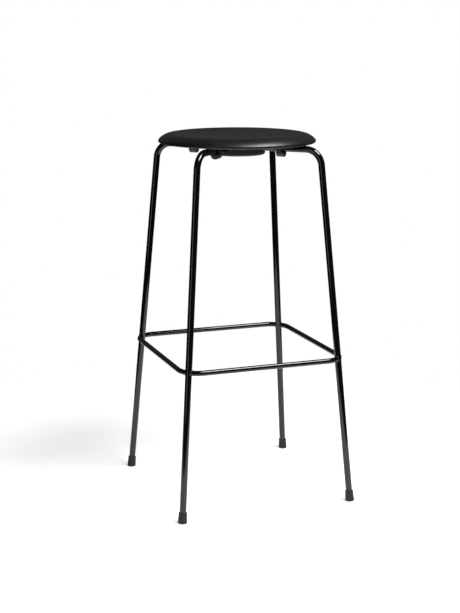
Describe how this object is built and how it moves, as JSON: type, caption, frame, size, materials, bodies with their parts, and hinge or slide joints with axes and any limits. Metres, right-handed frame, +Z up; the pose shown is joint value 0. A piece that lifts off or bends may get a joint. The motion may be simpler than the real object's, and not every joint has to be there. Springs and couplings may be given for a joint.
{
  "type": "bar stool with footrest",
  "caption": "Bar stool: a round dished leather seat on splayed tube legs bent under it, with a square round-bar footrest and black foot caps.",
  "frame": {"origin": "on the floor at the middle of the stool, under the centre of the seat", "axes": "+Z up along the stool's axis; the footrest's bars run along X and Y and the legs stand on the diagonals; the front is -Y"},
  "size_m": [0.3984, 0.3984, 0.7784],
  "materials": {
    "seat_leather": "smooth black leather, satin",
    "seat_foam": "thin bonded foam",
    "veneer_core": "moulded beech veneer, raw",
    "felt_liner": "thin black needle felt",
    "brass_insert": "turned brass",
    "zinc_steel": "bright zinc plating",
    "frame_paint": "gloss black coat on steel",
    "moulded_black": "moulded black polyamide, fine matte grain",
    "foot_rubber": "moulded black rubber, matte"
  },
  "bodies": {
    "root": {"seat_leather": "seat_leather", "seat_foam": "seat_foam", "seat_core": "veneer_core", "seat_liner": "felt_liner", "seat_inserts": "brass_insert", "seat_screws": "zinc_steel", "seat_washers": "zinc_steel", "hub_plate": "frame_paint", "hub_welds": "frame_paint", "hub_cover": "moulded_black", "leg_front_left": "frame_paint", "leg_front_right": "frame_paint", "leg_back_right": "frame_paint", "leg_back_left": "frame_paint", "footrest_bar_front": "frame_paint", "footrest_bar_right": "frame_paint", "footrest_bar_back": "frame_paint", "footrest_bar_left": "frame_paint", "footrest_weld_front_left": "frame_paint", "footrest_weld_front_right": "frame_paint", "footrest_weld_back_right": "frame_paint", "footrest_weld_back_left": "frame_paint", "seat_spacer_front_left": "moulded_black", "seat_spacer_front_right": "moulded_black", "seat_spacer_back_right": "moulded_black", "seat_spacer_back_left": "moulded_black", "foot_disc_front_left": "zinc_steel", "foot_disc_front_right": "zinc_steel", "foot_disc_back_right": "zinc_steel", "foot_disc_back_left": "zinc_steel", "foot_cap_front_left": "foot_rubber", "foot_cap_front_right": "foot_rubber", "foot_cap_back_right": "foot_rubber", "foot_cap_back_left": "foot_rubber"}
  },
  "joints": []
}
